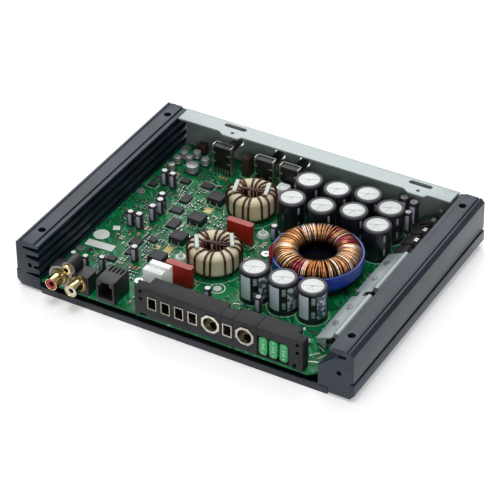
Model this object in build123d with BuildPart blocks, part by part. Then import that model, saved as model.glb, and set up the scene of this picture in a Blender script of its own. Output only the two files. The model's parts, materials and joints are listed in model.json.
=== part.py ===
from build123d import *
from math import cos, radians, sin
import os

os.makedirs("parts", exist_ok=True)

# Driving dimensions in millimetres. +X right, -Y front, +Z up.
# z = 0 is the underside of the bottom plate, x = y = 0 the centre of the four mounting holes.
hole_spacing_x = 210.0
hole_spacing_y = 145.0
mount_hole_r = 2.4
front_y = -87.5
rail_back_y = 85.5
rail_top_z = 35.0
rail_foot_z = 1.6
plate_t = 1.6
board_t = 1.6
board_top = 9.3
panel_inner_y = 83.2
panel_outer_y = 85.0
block_top = 31.0
big_can_r = 8.75
big_sleeve_r = 9.1
big_can_top = 31.7
shaft_r = 3.0
shaft_bore_r = 3.05
fuse_x = [55.4, 62.2, 69.0]
fuse_half_t = 2.55
cage_x = [-18.75, -9.55, -0.35, 8.85, 32.1]
cage_z = 20.95
barrel_x = [21.1, 43.9]
barrel_z = 21.5
rca_x = [-84.2, -70.3]
rca_z = 17.0
pot_x = [-58.6, -28.0, -10.0]
pot_z = 22.9

LOW = (Align.CENTER, Align.CENTER, Align.MIN)
CORNER = (Align.MIN, Align.MIN, Align.MIN)


def block(x0, x1, y0, y1, z0, z1, mode=Mode.ADD):
    """A box given by its limits."""
    with Locations((x0, y0, z0)):
        Box(x1 - x0, y1 - y0, z1 - z0, align=CORNER, mode=mode)


def post(x, y, z, r, h, mode=Mode.ADD):
    """An upright cylinder standing on z."""
    with Locations((x, y, z)):
        Cylinder(r, h, align=LOW, mode=mode)


def rod_y(x, y0, y1, z, r, mode=Mode.ADD):
    """A cylinder along Y from y0 (front) to y1 (back)."""
    with Locations((x, y1, z)):
        Cylinder(r, y1 - y0, rotation=(90, 0, 0), align=LOW, mode=mode)


def save(builder, name):
    """Label a finished sub-part and write it as STEP."""
    builder.part.label = name
    export_step(builder.part, "parts/" + name + ".step")


# Rails: one extruded section each, outer side common, inner side different.
rail_outer = [
    (98.2, 34.0), (101.4, 34.0), (101.4, 35.0), (109.9, 35.0), (109.9, 34.2), (110.7, 34.2),
    (110.7, 35.0), (112.0, 35.0), (114.2, 32.7), (114.4, 13.6), (112.6, 13.6), (112.6, 12.5),
    (115.0, 12.5), (115.0, 5.0), (112.0, rail_foot_z),
]
left_inner = [
    (90.0, rail_foot_z), (90.0, 5.0), (98.2, 5.0), (98.2, 10.5), (107.8, 11.4), (107.8, 12.3),
    (98.2, 13.6), (98.2, 16.4), (102.4, 17.0), (102.4, 18.4), (98.2, 19.8), (98.2, 22.4),
    (107.3, 23.5), (107.3, 25.5), (98.2, 26.4), (98.2, 28.8), (109.4, 29.7), (109.4, 31.2),
    (98.2, 32.2),
]
right_inner = [
    (91.4, rail_foot_z), (91.4, 18.8), (102.0, 28.5), (109.4, 29.7), (109.4, 31.2), (98.2, 32.2),
]

for name, inner, side in (("left_rail", left_inner, -1), ("right_rail", right_inner, 1)):
    with BuildPart() as rail:
        with BuildSketch(Plane.XZ.offset(-rail_back_y)):
            with BuildLine():
                Polyline(*[(side * x, z) for x, z in rail_outer + inner], close=True)
            make_face()
        extrude(amount=rail_back_y - front_y)
        # vertical mounting holes
        for end in (-1, 1):
            post(side * hole_spacing_x / 2, end * hole_spacing_y / 2, 0, mount_hole_r, 40, Mode.SUBTRACT)
        # end screw hole for the front panel
        rod_y(side * 105.0, front_y - 14, front_y + 10, 18.2, 1.6, Mode.SUBTRACT)
        # room for the plate lip, the back panel and the screws of the bottom plate
        low = min(side * 89.0, side * 97.9)
        block(low, low + 8.9, panel_inner_y - 0.2, 90, 0, 32.1, Mode.SUBTRACT)
        block(low, low + 8.9, -90, front_y + 1.6, 0, 5.0, Mode.SUBTRACT)
        for y in (-60, 0, 60):
            post(side * 94.5, y, 0, 1.5, 4.4, Mode.SUBTRACT)
    save(rail, name)

# Bottom plate with a front lip and a low back lip.
standoffs = [(-44.8, -60.6), (-42, 58), (10, -66), (70, -62), (52, 78.5), (8.5, 0)]
ledge_standoffs = [(-93.5, -50), (-93.5, 20), (-93.5, 76)]
with BuildPart() as bottom_plate:
    block(-97.7, 97.7, front_y, panel_outer_y, 0, plate_t)
    block(-97.7, 97.7, front_y, front_y + 1.5, plate_t, 4.6)
    block(-88.8, 88.8, 81.6, panel_inner_y, plate_t, 6.6)
    for side in (-1, 1):
        for y in (-60, 0, 60):
            post(side * 94.5, y, 0, 1.6, plate_t, Mode.SUBTRACT)
            with Locations((side * 94.5, y, 0)):
                Cone(2.9, 1.6, 1.3, align=LOW, mode=Mode.SUBTRACT)
    for x in cage_x + barrel_x:
        post(x, -82.6, 0, 3.2, plate_t, Mode.SUBTRACT)
    for x in (-70, -20, 20, 70):
        rod_y(x, 81.0, 84.0, 4.4, 1.25, Mode.SUBTRACT)
save(bottom_plate, "bottom_plate")

# Countersunk screws that hold the plate to the rails.
with BuildPart() as bottom_plate_screws:
    for side in (-1, 1):
        for y in (-60, 0, 60):
            with Locations((side * 94.5, y, 0)):
                Cone(2.8, 1.45, 1.3, align=LOW)
            post(side * 94.5, y, 1.3, 1.4, 2.9)
            block(side * 94.5 - 1.4, side * 94.5 + 1.4, y - 0.35, y + 0.35, 0, 0.6, Mode.SUBTRACT)
save(bottom_plate_screws, "bottom_plate_screws")

# Back panel: sheet with an inward top flange, two screw tabs and slots behind them.
with BuildPart() as rear_panel:
    block(-97.6, 97.6, panel_inner_y, panel_outer_y, plate_t, rail_top_z)
    block(-96.8, 96.8, 72.4, panel_inner_y, rail_top_z - 1.3, rail_top_z)
    for x_tab in (-58.0, 73.6):
        with BuildSketch(Plane.XY.offset(rail_top_z - 1.3)):
            with BuildLine():
                Polyline((x_tab - 9, 72.6), (x_tab - 4.5, 69.6), (x_tab + 6.5, 69.6), (x_tab + 8, 72.6), close=True)
            make_face()
        extrude(amount=1.3)
        post(x_tab + 0.6, 73.9, 30, 1.3, 8, Mode.SUBTRACT)
        with BuildSketch(Plane.XY.offset(rail_top_z - 2)):
            with Locations((x_tab - 0.8, 80.6)):
                SlotOverall(16.0, 3.6)
        extrude(amount=3, mode=Mode.SUBTRACT)
    for x in pot_x:
        rod_y(x, 80, 90, pot_z, 3.9, Mode.SUBTRACT)
    for x in (-70, -20, 20, 70):
        rod_y(x, 80, 90, 4.4, 1.6, Mode.SUBTRACT)
save(rear_panel, "rear_panel")

with BuildPart() as rear_panel_screws:
    for x in (-70, -20, 20, 70):
        rod_y(x, panel_outer_y, panel_outer_y + 1.8, 4.4, 2.6)
        rod_y(x, 81.7, panel_outer_y, 4.4, 1.2)
        block(x - 1.6, x + 1.6, panel_outer_y + 1.1, 88, 4.05, 4.75, Mode.SUBTRACT)
        block(x - 0.35, x + 0.35, panel_outer_y + 1.1, 88, 2.8, 6.0, Mode.SUBTRACT)
save(rear_panel_screws, "rear_panel_screws")

# Main board on threaded spacers.
with BuildPart() as main_board:
    with BuildSketch(Plane.XY.offset(board_top - board_t)):
        with BuildLine():
            Polyline(
                (-97.8, -86.3), (84.0, -86.3), (90.8, -80.5), (90.8, 82.8), (-97.8, 82.8), close=True
            )
        make_face()
    extrude(amount=board_t)
    for x, y in standoffs + ledge_standoffs:
        post(x, y, 0, 1.6, 20, Mode.SUBTRACT)
    for x in cage_x + barrel_x:
        post(x, -82.6, 0, 3.3, 20, Mode.SUBTRACT)
save(main_board, "main_board")

with BuildPart() as board_spacers:
    for x, y in standoffs:
        post(x, y, plate_t, 3.0, board_top - board_t - plate_t)
        post(x, y, plate_t + 1.5, 1.35, 20, Mode.SUBTRACT)
    for x, y in ledge_standoffs:
        post(x, y, 5.0, 3.0, board_top - board_t - 5.0)
        post(x, y, 5.4, 1.35, 20, Mode.SUBTRACT)
save(board_spacers, "board_spacers")

with BuildPart() as board_screws:
    for x, y in standoffs + ledge_standoffs:
        post(x, y, board_top, 2.8, 1.7)
        post(x, y, 5.6, 1.25, board_top - 5.6)
        block(x - 1.7, x + 1.7, y - 0.35, y + 0.35, board_top + 1.0, 12, Mode.SUBTRACT)
        block(x - 0.35, x + 0.35, y - 1.7, y + 1.7, board_top + 1.0, 12, Mode.SUBTRACT)
save(board_screws, "board_screws")

# Twin phono jack.
with BuildPart() as rca_jack_body:
    block(-90.6, -64.0, -86.6, -73.0, board_top, 22.4)
    block(-82.0, -72.6, -86.6, -77.0, 22.4, 25.6)
    rod_y(-77.3, -86.6, -77.0, 25.6, 4.7)
    block(-90.6, -64.0, -77.5, -73.0, 19.5, 30, Mode.SUBTRACT)
    for x in rca_x:
        rod_y(x, -90, -79.0, rca_z, 3.8, Mode.SUBTRACT)
    rod_y(-77.3, -90, -80.0, 25.6, 3.05, Mode.SUBTRACT)
save(rca_jack_body, "rca_jack_body")

with BuildPart() as rca_shells:
    for x in rca_x:
        rod_y(x, -88.0, -86.6, rca_z, 5.6)
        rod_y(x, -96.2, -88.0, rca_z, 4.15)
        rod_y(x, -86.6, -83.0, rca_z, 3.75)
        rod_y(x, -98, -80, rca_z, 3.45, Mode.SUBTRACT)
save(rca_shells, "rca_shells")

for name, x in (("rca_insulator_red", rca_x[0]), ("rca_insulator_white", rca_x[1])):
    with BuildPart() as rca_insulator:
        rod_y(x, -95.7, -80.0, rca_z, 3.4)
        rod_y(x, -97, -78, rca_z, 1.85, Mode.SUBTRACT)
    save(rca_insulator, name)

with BuildPart() as rca_contacts:
    for x in rca_x:
        rod_y(x, -95.0, -80.0, rca_z, 1.8)
        rod_y(x, -97, -84, rca_z, 1.6, Mode.SUBTRACT)
save(rca_contacts, "rca_contacts")

with BuildPart() as rca_ground_boss:
    rod_y(-77.3, -89.2, -80.2, 25.6, 3.0)
    rod_y(-77.3, -91, -81.5, 25.6, 1.5, Mode.SUBTRACT)
save(rca_ground_boss, "rca_ground_boss")

# Modular socket for the remote level control.
with BuildPart() as remote_jack_housing:
    block(-57.8, -45.5, -87.2, -70.0, board_top, 25.0)
    block(-56.6, -46.7, -90, -74.0, 12.4, 21.4, Mode.SUBTRACT)
    block(-54.6, -48.7, -90, -78.0, 21.4, 23.8, Mode.SUBTRACT)
    for i in range(4):
        block(-55.9 + 2.6 * i, -54.7 + 2.6 * i, -76.5, -69, 23.6, 26, Mode.SUBTRACT)
save(remote_jack_housing, "remote_jack_housing")

with BuildPart() as remote_jack_contacts:
    for i in range(6):
        with BuildSketch(Plane.YZ.offset(-55.05 + 1.27 * i)):
            with BuildLine():
                Polyline((-83.5, 12.45), (-74.05, 12.45), (-74.05, 16.0), (-74.6, 16.0), close=True)
            make_face()
        extrude(amount=0.45)
save(remote_jack_contacts, "remote_jack_contacts")


def block_feet(x0, x1):
    """Short feet that carry a terminal module on the board."""
    block(x0, x0 + 1.2, -86.0, -78.0, board_top, 10.5)
    block(x1 - 1.2, x1, -86.0, -78.0, board_top, 10.5)


def cage_cavity(x):
    """Square chamber for a small terminal, open front and back, with its screw bore."""
    block(x - 3.25, x + 3.25, -90, -70, cage_z - 4.5, cage_z + 4.5, Mode.SUBTRACT)
    post(x, -82.6, 8, 2.05, 9, Mode.SUBTRACT)


def barrel_cavity(x):
    """Eight-sided chamber for a power terminal with its screw bore."""
    with BuildSketch(Plane.XZ.offset(60)) as outline:
        with Locations((x, barrel_z)):
            RegularPolygon(6.05, 8, major_radius=False, rotation=22.5)
    extrude(outline.sketch, amount=30, mode=Mode.SUBTRACT)
    post(x, -82.6, 8, 3.1, 8, Mode.SUBTRACT)


def ear(x_hole, x0, x1, z0, z1):
    """Fixing lug with two holes facing the front."""
    block(x0, x1, front_y, -80.5, z0, z1)
    rod_y(x_hole, -90, -82.5, 27.7, 1.2, Mode.SUBTRACT)
    rod_y(x_hole, -90, -82.5, 22.2, 1.2, Mode.SUBTRACT)


# Terminal block, four housings side by side.
with BuildPart() as speaker_terminal_block:
    block(-23.2, 27.85, front_y, -75.6, 10.5, block_top)
    block_feet(-23.2, 27.85)
    ear(-26.6, -30.6, -23.2, 12.0, 30.0)
    block(-30.6, -27.4, front_y, -80.5, 9.4, 12.0)
    for x in cage_x[:4]:
        cage_cavity(x)
    barrel_cavity(barrel_x[0])
save(speaker_terminal_block, "speaker_terminal_block")

with BuildPart() as remote_terminal_block:
    block(27.95, 36.3, front_y, -78.4, 10.5, block_top)
    block_feet(27.95, 36.3)
    cage_cavity(cage_x[4])
save(remote_terminal_block, "remote_terminal_block")

with BuildPart() as battery_terminal_block:
    block(36.4, 51.3, front_y, -75.6, 10.5, block_top)
    block_feet(36.4, 51.3)
    barrel_cavity(barrel_x[1])
save(battery_terminal_block, "battery_terminal_block")

with BuildPart() as fuse_block:
    block(51.5, 75.2, front_y, -74.8, 10.5, block_top)
    block_feet(51.5, 75.2)
    ear(78.2, 75.2, 81.8, 13.8, 31.0)
    block(77.4, 81.4, front_y, -80.5, board_top, 13.8)
    block(51.9, 72.6, -90, -85.4, 11.2, 25.6, Mode.SUBTRACT)
    for x in fuse_x:
        block(x - 2.75, x + 2.75, -90, -80.9, 11.6, 24.6, Mode.SUBTRACT)
        block(x - 1.5, x + 1.5, -81, -70, 12.2, 24.0, Mode.SUBTRACT)
save(fuse_block, "fuse_block")

# Small terminals: square cages whose back wall runs down to the board.
with BuildPart() as wire_terminal_cages:
    for x in cage_x:
        block(x - 3.15, x + 3.15, -87.8, -75.0, cage_z - 4.4, cage_z + 4.4)
        block(x - 2.45, x + 2.45, -88, -75.6, cage_z - 3.6, cage_z + 3.7, Mode.SUBTRACT)
        block(x - 1.6, x + 1.6, -75.55, -75.0, board_top, cage_z - 4.4)
        post(x, -82.6, 14, 2.0, 4.0, Mode.SUBTRACT)
save(wire_terminal_cages, "wire_terminal_cages")

# Power terminals: eight-sided barrels with a round wire bore.
with BuildPart() as power_terminal_barrels:
    for x in barrel_x:
        with BuildSketch(Plane.XZ.offset(75.0)):
            with Locations((x, barrel_z)):
                RegularPolygon(6.0, 8, major_radius=False, rotation=22.5)
        extrude(amount=13.2)
        rod_y(x, -90, -76.5, barrel_z, 4.7, Mode.SUBTRACT)
        block(x - 3.0, x + 3.0, -75.5, -75.0, board_top, barrel_z - 5.9)
        post(x, -82.6, 14, 3.0, 4.0, Mode.SUBTRACT)
save(power_terminal_barrels, "power_terminal_barrels")

with BuildPart() as terminal_set_screws:
    for x in cage_x:
        post(x, -82.6, 12.4, 1.9, 4.9)
        with BuildSketch(Plane.XY.offset(12.0)):
            with Locations((x, -82.6)):
                RegularPolygon(1.0, 6)
        extrude(amount=2.2, mode=Mode.SUBTRACT)
    for x in barrel_x:
        post(x, -82.6, 12.4, 2.9, 4.3)
        with BuildSketch(Plane.XY.offset(12.0)):
            with Locations((x, -82.6)):
                RegularPolygon(1.5, 6)
        extrude(amount=2.6, mode=Mode.SUBTRACT)
save(terminal_set_screws, "terminal_set_screws")

# Fuse clips: two leaves on each blade and a tail to the board.
with BuildPart() as fuse_clips:
    for x in fuse_x:
        for z, dx in ((15.0, -0.9), (21.2, 0.9)):
            block(x - 0.9, x - 0.4, -80.4, -74.9, z - 1.8, z + 1.8)
            block(x + 0.4, x + 0.9, -80.4, -74.9, z - 1.8, z + 1.8)
            block(x - 0.9, x + 0.9, -75.3, -74.9, z - 1.8, z + 1.8)
        block(x - 1.3, x - 0.3, -74.7, -74.2, board_top, 16.4)
        block(x - 1.3, x - 0.3, -74.9, -74.6, 13.4, 16.4)
        block(x + 0.3, x + 1.3, -74.7, -74.2, board_top, 22.6)
        block(x + 0.3, x + 1.3, -74.9, -74.6, 19.6, 22.6)
save(fuse_clips, "fuse_clips")

# Three blade fuses, each a plastic body with two blades.
for n, x in enumerate(fuse_x, 1):
    with BuildPart() as fuse_body:
        with BuildSketch(Plane.XZ.offset(81.0)):
            with Locations((x, 18.05)):
                RectangleRounded(2 * fuse_half_t, 12.6, 1.9)
        extrude(amount=5.9)
        for z in (15.0, 21.2):
            block(x - 0.34, x + 0.34, -83.0, -80.9, z - 2.05, z + 2.05, Mode.SUBTRACT)
    save(fuse_body, "fuse_body_" + str(n))
    with BuildPart() as fuse_blades:
        for z in (15.0, 21.2):
            block(x - 0.32, x + 0.32, -82.9, -75.8, z - 2.0, z + 2.0)
    save(fuse_blades, "fuse_blades_" + str(n))


def ring_section(r_in, r_out, z0, z1, corner, cx, cy):
    """Revolve a rounded rectangle about an upright axis at (cx, cy)."""
    with BuildSketch(Plane.XZ.offset(-cy)) as section:
        with Locations((cx + (r_in + r_out) / 2, (z0 + z1) / 2)):
            RectangleRounded(r_out - r_in, z1 - z0, corner)
    revolve(section.sketch, axis=Axis((cx, cy, 0), (0, 0, 1)))


# Power transformer: ferrite ring inside a copper winding, in a blue cup on a base.
trafo_x = 44.5
trafo_y = -0.6
with BuildPart() as transformer_core:
    ring_section(15.0, 23.0, 18.4, 26.4, 0.8, trafo_x, trafo_y)
save(transformer_core, "transformer_core")

with BuildPart() as transformer_winding:
    ring_section(11.0, 27.0, 15.6, 30.6, 5.6, trafo_x, trafo_y)
    with BuildSketch(Plane.XZ.offset(-trafo_y), mode=Mode.PRIVATE) as hollow:
        with Locations((trafo_x + 19.0, 22.4)):
            RectangleRounded(8.1, 8.1, 0.85)
    revolve(hollow.sketch, axis=Axis((trafo_x, trafo_y, 0), (0, 0, 1)), mode=Mode.SUBTRACT)
save(transformer_winding, "transformer_winding")

with BuildPart() as transformer_case:
    with BuildSketch(Plane.XZ.offset(-trafo_y)):
        with BuildLine():
            Polyline(
                (trafo_x + 27.1, 25.8), (trafo_x + 28.2, 25.8), (trafo_x + 28.2, 18.0),
                (trafo_x + 25.6, 14.2), (trafo_x + 10.0, 14.2), (trafo_x + 10.0, 15.4),
                (trafo_x + 24.9, 15.4), (trafo_x + 27.1, 18.6), close=True
            )
        make_face()
    revolve(axis=Axis((trafo_x, trafo_y, 0), (0, 0, 1)))
save(transformer_case, "transformer_case")

with BuildPart() as transformer_base:
    post(trafo_x, trafo_y, board_top, 23.5, 14.2 - board_top)
    post(trafo_x, trafo_y, 0, 8.0, 20, Mode.SUBTRACT)
save(transformer_base, "transformer_base")

# Two ring chokes: cream core, sixteen turns, two glue strips.
chokes = [("front", -13.9, -23.4, 16.1, 5.4, 26.0), ("rear", -21.9, 36.2, 15.1, 5.0, 26.0)]
choke_low = 10.9
with BuildPart() as choke_cores:
    for name, cx, cy, r_out, r_in, z_top in chokes:
        ring_section(r_in + 1.3, r_out, choke_low, z_top, 3.4, cx, cy)
save(choke_cores, "choke_cores")

with BuildPart() as choke_windings:
    for name, cx, cy, r_out, r_in, z_top in chokes:
        mid = ((r_in + 1.3 + r_out) / 2, (choke_low + z_top) / 2)
        with BuildSketch(Plane.XZ.offset(-0.65), mode=Mode.PRIVATE) as turn:
            with Locations(mid):
                RectangleRounded(r_out - r_in + 1.3, z_top - choke_low + 2.6, 4.6)
                RectangleRounded(r_out - r_in - 1.2, z_top - choke_low + 0.1, 3.4, mode=Mode.SUBTRACT)
        loop = extrude(turn.sketch, amount=1.3, mode=Mode.PRIVATE)
        with Locations((cx, cy, 0)):
            with PolarLocations(0.001, 16):
                add(loop)
save(choke_windings, "choke_windings")

with BuildPart() as choke_glue_strips:
    for name, cx, cy, r_out, r_in, z_top in chokes:
        for side in (-1, 1):
            with Locations(Location((cx, cy, z_top + 1.32), (0, 0, 33 if name == "front" else 18))):
                with Locations((side * (r_out * 0.66), 0, 0)):
                    Box(2.6, 13.0, 1.3, align=LOW)
save(choke_glue_strips, "choke_glue_strips")

# Large electrolytic capacitors: aluminium cans in black sleeves.
rear_caps = [
    (7.7, 56.7), (27.7, 56.4), (46.8, 60.9), (7.4, 34.7), (27.5, 36.2), (47.1, 40.9),
    (65.5, 54.1), (66.6, 34.4),
]
front_caps = [(22.4, -38.4), (42.2, -39.1), (61.4, -38.2)]
with BuildPart() as capacitor_cans:
    with Locations(*[(x, y, board_top + 0.3) for x, y in rear_caps + front_caps]):
        Cylinder(big_can_r, big_can_top - board_top - 0.7, align=LOW)
save(capacitor_cans, "capacitor_cans")

with BuildPart() as capacitor_sleeves:
    with Locations(*[(x, y, board_top) for x, y in rear_caps + front_caps]):
        Cylinder(big_sleeve_r, big_can_top - board_top, align=LOW)
        Cylinder(big_can_r + 0.03, big_can_top - board_top - 0.4, align=LOW, mode=Mode.SUBTRACT)
        Cylinder(6.9, 40, align=LOW, mode=Mode.SUBTRACT)
save(capacitor_sleeves, "capacitor_sleeves")

# Film capacitors: two upright red slabs.
with BuildPart() as film_capacitors:
    for x, y in ((-13.0, 6.4), (-22.8, -49.0)):
        with BuildSketch(Plane.XY.offset(board_top + 0.4)):
            with Locations((x, y)):
                RectangleRounded(18.0, 4.6, 1.6)
        extrude(amount=14.0)
        for dx in (-7.5, 7.5):
            post(x + dx, y, board_top, 0.4, 0.5)
save(film_capacitors, "film_capacitors")

# White headers: the stepped one behind the terminal block and a small one at the back.
with BuildPart() as board_headers:
    block(-38.3, -25.0, -66.3, -61.6, board_top, 26.0)
    block(-36.7, -22.8, -61.6, -57.2, board_top, 28.0)
    block(-36.0, -26.5, -65.6, -64.4, 24.6, 27, Mode.SUBTRACT)
    block(-14.2, -6.8, 52.4, 59.6, board_top, 20.4)
    block(-12.8, -8.2, 53.8, 58.2, 19.0, 22, Mode.SUBTRACT)
save(board_headers, "board_headers")

# Flat-pack switching transistors with their tabs toward +Y.
chips = [(-46.6, 35.2), (-46.2, 10.3), (-46.1, -12.1), (-46.8, -35.8)]
with BuildPart() as output_chips:
    for x, y in chips:
        block(x - 5.0, x + 5.0, y - 4.4, y + 4.4, board_top + 0.1, board_top + 4.5)
save(output_chips, "output_chips")

with BuildPart() as output_chip_leads:
    for x, y in chips:
        block(x - 5.2, x + 5.2, y + 4.4, y + 5.8, board_top, board_top + 1.3)
        for dx in (-2.54, 2.54):
            block(x + dx - 0.45, x + dx + 0.45, y - 8.2, y - 4.4, board_top, board_top + 0.5)
            block(x + dx - 0.45, x + dx + 0.45, y - 4.9, y - 4.4, board_top, board_top + 2.4)
save(output_chip_leads, "output_chip_leads")

# Power transistors leaning on a sloped bar against the right rail.
slope = 22.8
with BuildPart() as transistor_heat_bar:
    with BuildSketch(Plane.XZ.offset(-80.0)):
        with BuildLine():
            Polyline((80.0, board_top), (90.7, board_top), (91.3, 9.9), (91.3, 15.35), (80.0, 10.6), close=True)
        make_face()
    extrude(amount=140.5)
save(transistor_heat_bar, "transistor_heat_bar")

transistor_y = [-55.4, -44.5, -30.5, -18.5, -2.5, 9.5, 22.0, 38.0, 50.0, 62.0, 74.0]
lean_x = (cos(radians(slope)), 0, sin(radians(slope)))
lean_z = (-sin(radians(slope)), 0, cos(radians(slope)))
lean = Plane(origin=(80.0, 0, 10.6), x_dir=lean_x, z_dir=lean_z)
with BuildPart() as power_transistors:
    for y in transistor_y:
        with Locations(lean):
            with Locations((-1.0, y - 5.0, 0.06)):
                Box(9.0, 10.0, 4.3, align=CORNER)
save(power_transistors, "power_transistors")

with BuildPart() as power_transistor_leads:
    for y in transistor_y:
        with Locations(lean):
            with Locations((8.05, y - 5.0, 0.06)):
                Box(3.2, 10.0, 1.3, align=CORNER)
        for dy in (-2.54, 0, 2.54):
            block(76.2, 76.9, y + dy - 0.4, y + dy + 0.4, board_top, 12.3)
            block(76.2, 78.15, y + dy - 0.4, y + dy + 0.4, 11.8, 12.3)
save(power_transistor_leads, "power_transistor_leads")

# Clamp bar over the front transistors: sloped strip with a rolled edge, in two lengths.
with BuildPart() as clamp_bar:
    for y0, y1 in ((-62.1, -17.0), (-12.0, 31.0)):
        with Locations(lean):
            with Locations((-1.6, y0, 4.42)):
                Box(11.2, y1 - y0, 1.1, align=CORNER)
        rod_y(88.5, y0 + 2.5, y1, 18.9, 2.1)
    with Locations(lean):
        with Locations((2.0, -17.0, 4.42)):
            Box(3.4, 5.0, 1.1, align=CORNER)
    with BuildSketch(Plane.XZ.offset(61.0)):
        with BuildLine():
            Polyline((77.2, 14.6), (83.0, 16.4), (83.0, board_top), (80.6, board_top), close=True)
        make_face()
    extrude(amount=1.1)
    for y in (-47.0, -29.5, 2.5, 19.0):
        with Locations(lean):
            with Locations((4.3, y, 0)):
                Cylinder(1.35, 12, align=LOW, mode=Mode.SUBTRACT)
save(clamp_bar, "clamp_bar")

with BuildPart() as clamp_screws:
    for y in (-47.0, -29.5, 2.5, 19.0):
        with Locations(lean):
            with Locations((4.3, y, 5.56)):
                Cylinder(2.1, 0.9, align=LOW)
            with Locations((4.3, y, 4.5)):
                Cylinder(1.25, 1.1, align=LOW)
save(clamp_screws, "clamp_screws")

# Small radial electrolytics.
small_caps = [
    (-85.1, 35.6, 2.5, 11.0), (-78.9, 35.2, 2.5, 11.0), (-73.2, 13.1, 2.5, 11.0),
    (-71.0, 7.2, 2.6, 11.0), (-71.2, -1.6, 2.6, 11.5), (-80.3, -12.8, 2.4, 11.0),
    (-74.3, -12.3, 2.6, 11.0), (-58.8, -42.8, 2.5, 11.0), (-87.7, -65.9, 2.2, 11.0),
    (-79.6, -65.2, 2.2, 11.0), (-70.3, -61.3, 2.2, 11.0), (1.1, -57.1, 2.5, 11.0),
    (4.9, 17.0, 2.5, 11.0), (31.9, -50.4, 2.4, 11.5), (64.7, 75.2, 3.6, 17.0),
    (72.2, 73.2, 3.4, 17.0), (72.6, 64.6, 2.6, 15.0),
]
with BuildPart() as small_capacitors:
    for x, y, r, h in small_caps:
        post(x, y, board_top, r, h)
save(small_capacitors, "small_capacitors")

# Surface-mount electrolytics: bare cans on square bases.
smd_caps = [
    (-89.9, 67.1, 2.6, 5.2), (-90.4, 59.9, 2.6, 5.2), (-90.0, 51.2, 2.6, 5.2),
    (-77.5, 56.6, 4.2, 5.4), (-82.6, 71.2, 2.6, 5.2), (-73.6, 66.6, 2.6, 5.2), (-84.2, 64.2, 2.6, 5.2),
]
with BuildPart() as surface_capacitor_bases:
    for x, y, r, h in smd_caps:
        block(x - r - 0.2, x + r + 0.2, y - r - 0.2, y + r + 0.2, board_top, board_top + 0.8)
save(surface_capacitor_bases, "surface_capacitor_bases")
with BuildPart() as surface_capacitor_cans:
    for x, y, r, h in smd_caps:
        post(x, y, board_top + 0.8, r, h - 0.8)
save(surface_capacitor_cans, "surface_capacitor_cans")

# Places of the signal chips: centre and size.
signal_places = [
    (-91.8, 31.2, 5, 4), (-63.5, 14.1, 8, 6), (-57.6, 0.6, 7, 9), (-67.9, -27.0, 7, 7),
    (-59.7, -20.5, 5, 4), (-75.0, 44.0, 6, 5), (-60.0, 46.0, 8, 5), (-64.5, 27.0, 6, 8),
    (-72.0, -48.5, 6, 5), (2.5, 77.0, 5, 4), (25.0, 75.5, 6, 5), (-66.0, -38.0, 4, 5),
]
with BuildPart() as box_capacitors:
    block(-47.2, -42.4, 67.6, 75.2, board_top, 23.0)
    block(-84.8, -79.2, 75.6, 80.4, board_top, 16.4)
save(box_capacitors, "box_capacitors")

with BuildPart() as board_supports:
    for x, y in ((3.3, -11.5), (-3.4, 17.6), (-35.4, -27.6)):
        with Locations((x, y, board_top)):
            Cone(4.2, 3.2, 1.8, align=LOW)
            Cone(2.4, 0.5, 5.0, align=LOW)
save(board_supports, "board_supports")

# Rows of the bigger chip resistors and capacitors, in one node with the signal chips.
chip_rows = [
    (-95.0, -1.0, 4, 5.0), (-86.0, 5.0, 3, 6.0), (-64.0, 54.0, 2, 3.2), (-56.0, 22.5, 3, 3.4),
    (-34.0, 12.0, 4, 4.0), (-34.0, -50.0, 4, 3.6), (-14.0, -60.0, 3, 4.0), (-64.0, -68.0, 4, 4.2),
    (12.0, 14.0, 3, 4.0), (74.0, 4.0, 3, 5.0), (70.5, -24.0, 4, 5.0), (22.0, -62.0, 4, 4.2),
]
with BuildPart() as signal_chips:
    for x, y, dx, dy in signal_places:
        block(x - dx / 2, x + dx / 2, y - dy / 2, y + dy / 2, board_top, board_top + 1.6)
    for x, y, count, pitch in chip_rows:
        for i in range(count):
            block(x - 1.0, x + 1.0, y + pitch * i - 0.65, y + pitch * i + 0.65, board_top, board_top + 0.7)
save(signal_chips, "signal_chips")

# Level controls: upright bodies, a turning shaft through the back panel each.
with BuildPart() as potentiometer_bodies:
    for x in pot_x:
        block(x - 6.0, x + 6.0, 61.8, 66.6, 14.2, 30.4)
        rod_y(x, 66.6, 70.4, pot_z, 4.5)
        rod_y(x, 63.0, 65.2, pot_z, 4.9, Mode.SUBTRACT)
        rod_y(x, 63.0, 72.0, pot_z, shaft_bore_r, Mode.SUBTRACT)
save(potentiometer_bodies, "potentiometer_bodies")

with BuildPart() as potentiometer_brackets:
    for x in pot_x:
        for side in (-1, 1):
            low = min(x + side * 6.1, x + side * 6.7)
            block(low, low + 0.6, 62.4, 66.0, board_top, 29.0)
        for i in range(5):
            block(x - 4.4 + 2.0 * i, x - 3.7 + 2.0 * i, 62.6, 63.2, board_top, 14.2)
save(potentiometer_brackets, "potentiometer_brackets")

for n, x in enumerate(pot_x, 1):
    with BuildPart() as shaft:
        rod_y(x, 63.3, 64.9, pot_z, 4.6)
        rod_y(x, 64.9, 84.8, pot_z, shaft_r)
        block(x - 0.5, x + 0.5, 83.6, 86.0, pot_z - 4, pot_z + 4, Mode.SUBTRACT)
    save(shaft, "potentiometer_shaft_" + str(n))
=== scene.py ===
# %% [markdown]
# # Car amplifier with its cover off
#
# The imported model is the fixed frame. Every piece below takes its place from it,
# rides on one of its bodies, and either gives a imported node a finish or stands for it
# with a more detailed shape. Lengths here are in millimetres until they become vertices.

# %% Load the frame
import json
import random
from math import cos, degrees, pi, radians, sin

import bmesh
import bpy
from mathutils import Matrix, Vector


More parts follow.
